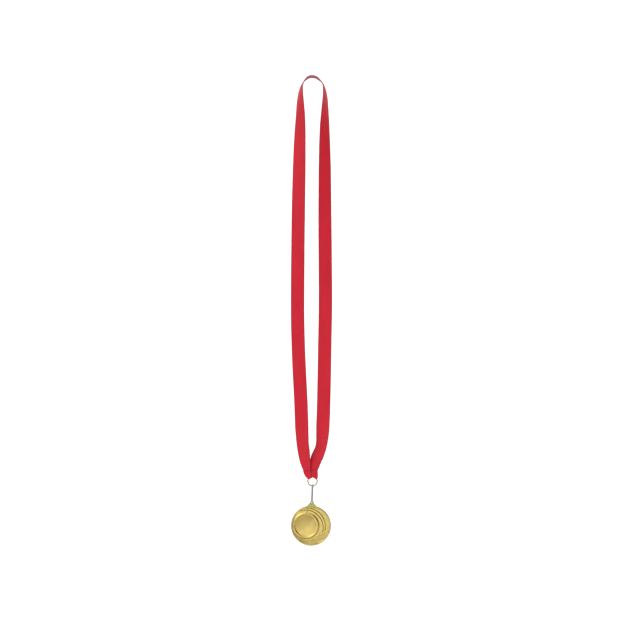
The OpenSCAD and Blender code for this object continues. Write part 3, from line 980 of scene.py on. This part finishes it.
# The lug's gold is a darker, greener copy of the medal's gold: painted shade on the lug
shaded_lug_gold = metal_material("shaded_lug_gold", (0.58, 0.50, 0.15), (0.16, 0.12, 0.03), 0.34, *GOLD_GRAIN, "hollow")
dull_brass = metal_material("dull_brass", (0.27, 0.23, 0.12), (0.08, 0.065, 0.03), 0.30, *WIRE_GRAIN)
dull_nickel = metal_material("dull_nickel", (0.31, 0.29, 0.30), (0.08, 0.07, 0.08), 0.28, *WIRE_GRAIN)
for piece, material in (
    (ribbon, red_cloth),
    (seam, red_thread),
    (ring, dull_brass),
    (link, dull_nickel),
    (disc, gold),
    (lug, shaded_lug_gold),
):
    piece.data.materials.append(material)

# ---------------------------------------------------------------- riding on the frame
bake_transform(ribbon)
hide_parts("ribbon", "ribbon_hem")
for piece, body, cad_node, slot_name in (
    (seam, "ribbon", "seam_thread", "thread"),
    (ring, "ring", "jump_ring", "ring_wire"),
    (link, "link", "oblong_link", "link_wire"),
    (disc, "medal", "medal", "medal_gold"),
    (lug, "medal", None, "medal_gold"),
):
    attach(piece, body)
    if cad_node:
        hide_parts(cad_node)

# ---------------------------------------------------------------- floor, backdrop and light
FLOOR_Z = -0.66
WALL_Y = 2.4
WALL_H = 3.2
COVE_R = 0.8
FLOOR_HALF_X = 9.0


def studio():
    """A pale floor that curves up into a wall, in metres."""
    cove_y = WALL_Y - COVE_R
    y = np.r_[-9.0, -5.0, -3.0, np.linspace(-2, cove_y, 6)]
    bend = np.radians(np.linspace(0, 90, 13))
    profile = [(v, FLOOR_Z) for v in y]
    profile += [(cove_y + COVE_R * math.sin(a), FLOOR_Z + COVE_R * (1 - math.cos(a))) for a in bend[1:]]
    profile += [(WALL_Y, FLOOR_Z + 2.0), (WALL_Y, FLOOR_Z + WALL_H)]
    xs = np.linspace(-FLOOR_HALF_X, FLOOR_HALF_X, 7)
    points = [(x / MM, a / MM, b / MM) for a, b in profile for x in xs]
    faces = grid_faces(len(profile), len(xs))
    return make_mesh("studio", np.array(points), faces)


backdrop = studio()
paper, tree, shader = new_material("white_paper")
mottled = node(tree, "ShaderNodeTexNoise", {"Scale": 3.0, "Detail": 2.0}).outputs["Fac"]
tree.links.new(mix(tree, mottled, (0.93, 0.93, 0.93), (0.95, 0.95, 0.95)), shader.inputs["Base Color"])
shader.inputs["Roughness"].default_value = 0.9
shader.inputs["Specular IOR Level"].default_value = 0.1
backdrop.data.materials.append(paper)


def area_light(name, place, aim, size, power, glossy=True):
    """A rectangular light at place, facing aim. glossy=False hides it from reflections."""
    light = bpy.data.lights.new(name, "AREA")
    light.shape = "RECTANGLE"
    light.size, light.size_y = size
    light.energy = power
    lamp = bpy.data.objects.new(name, light)
    bpy.context.scene.collection.objects.link(lamp)
    lamp.location = place
    lamp.rotation_euler = (Vector(aim) - Vector(place)).to_track_quat("-Z", "Y").to_euler()
    lamp.visible_glossy = glossy


area_light("key", (-1.3, -1.7, 0.9), (0, 0, -0.3), (1.2, 1.2), 14.5)
area_light("fill", (1.7, -1.6, 0.1), (0, 0, -0.2), (0.9, 1.4), 18, glossy=False)
area_light("backdrop_light", (0, 0.6, 1.6), (0, WALL_Y, -0.2), (2.6, 0.8), 29)

world = bpy.data.worlds.new("studio_world")
bpy.context.scene.world = world
world.use_nodes = True
BRIGHT_FROM = Vector((-0.50, -0.50, 0.71)).normalized()
tree = world.node_tree
toward = node(tree, "ShaderNodeVectorMath", operation="DOT_PRODUCT")
tree.links.new(node(tree, "ShaderNodeTexCoord").outputs["Generated"], toward.inputs[0])
toward.inputs[1].default_value = BRIGHT_FROM
glow = remap(tree, toward.outputs["Value"], 0.25, 1.0, 0.04, 1.3, kind="SMOOTHSTEP")
# Seen directly, the studio's air is plain white, like the backdrop
seen = node(tree, "ShaderNodeLightPath").outputs["Is Camera Ray"]
strength = calc(tree, "MAXIMUM", glow, seen)
tree.links.new(strength, tree.nodes["Background"].inputs["Strength"])
tree.nodes["Background"].inputs["Color"].default_value = (1, 1, 1, 1)

# ---------------------------------------------------------------- sizes and end
print("ribbon length mm", round(float(ribbon_length), 1))
